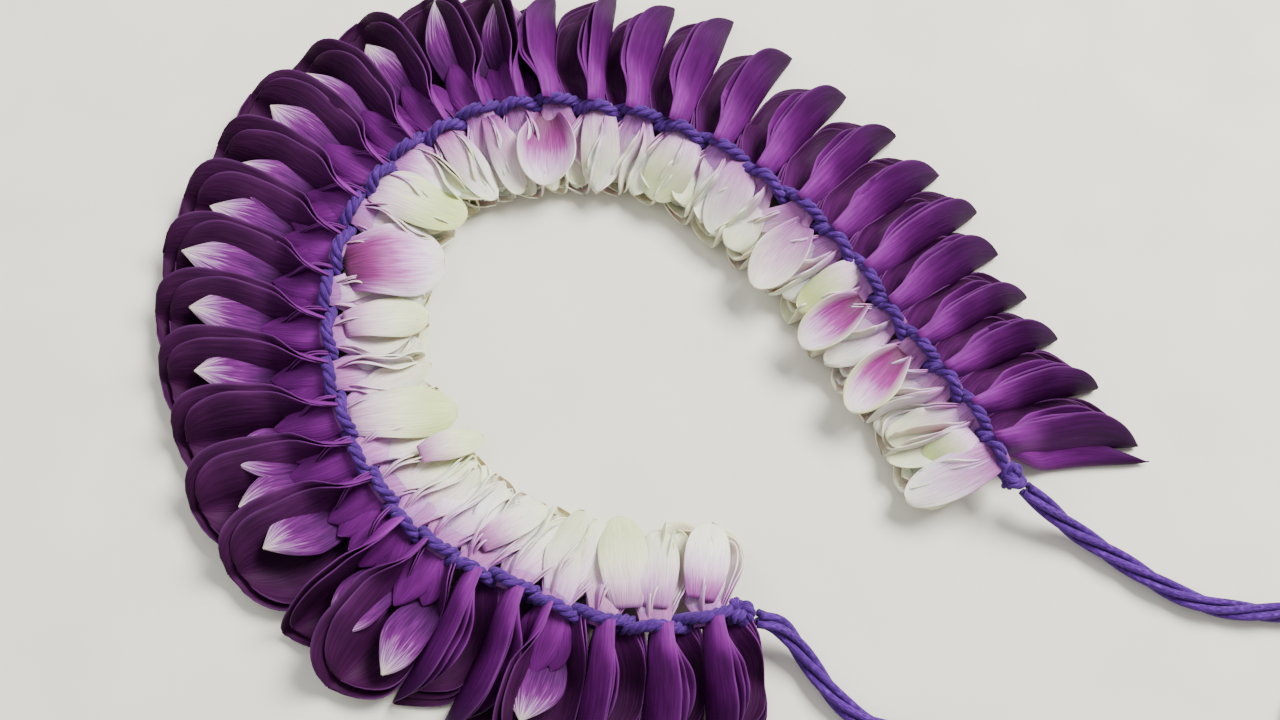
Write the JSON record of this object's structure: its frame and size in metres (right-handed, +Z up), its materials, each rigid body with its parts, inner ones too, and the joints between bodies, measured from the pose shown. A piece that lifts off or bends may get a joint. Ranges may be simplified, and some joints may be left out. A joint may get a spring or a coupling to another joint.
{
  "type": "orchid hair garland",
  "caption": "Open ring of folded purple orchid petals tied side by side on a twined violet thread, with a loose tail at each end, worn round a hair bun.",
  "frame": {"origin": "centre of the garland's bounding box seen from above, on the surface it lies on, measured without the two free tails and their coils", "axes": "+Z up from the surface it lies on; +X along the longer side of the open ring, towards the end that the longer tail leaves; +Y towards the closed back of the ring's top edge"},
  "size_m": [0.1982, 0.1531, 0.0105],
  "materials": {
    "petals": "soft satin, waxy fresh petal",
    "thread": "matte twisted yarn"
  },
  "bodies": {
    "root": {"petal_bunch_01": "petals", "petal_bunch_02": "petals", "petal_bunch_03": "petals", "petal_bunch_04": "petals", "petal_bunch_05": "petals", "petal_bunch_06": "petals", "petal_bunch_07": "petals", "petal_bunch_08": "petals", "petal_bunch_09": "petals", "petal_bunch_10": "petals", "petal_bunch_11": "petals", "petal_bunch_12": "petals", "petal_bunch_13": "petals", "petal_bunch_14": "petals", "petal_bunch_15": "petals", "petal_bunch_16": "petals", "petal_bunch_17": "petals", "petal_bunch_18": "petals", "petal_bunch_19": "petals", "petal_bunch_20": "petals", "petal_bunch_21": "petals", "petal_bunch_22": "petals", "petal_bunch_23": "petals", "petal_bunch_24": "petals", "petal_bunch_25": "petals", "petal_bunch_26": "petals", "petal_bunch_27": "petals", "petal_bunch_28": "petals", "petal_bunch_29": "petals", "petal_bunch_30": "petals", "petal_bunch_31": "petals", "petal_bunch_32": "petals", "petal_bunch_33": "petals", "petal_bunch_34": "petals", "petal_bunch_35": "petals", "binding_thread": "thread", "tail_a": "thread", "tail_a_coil": "thread", "tail_b": "thread", "tail_b_coil": "thread"}
  },
  "joints": []
}
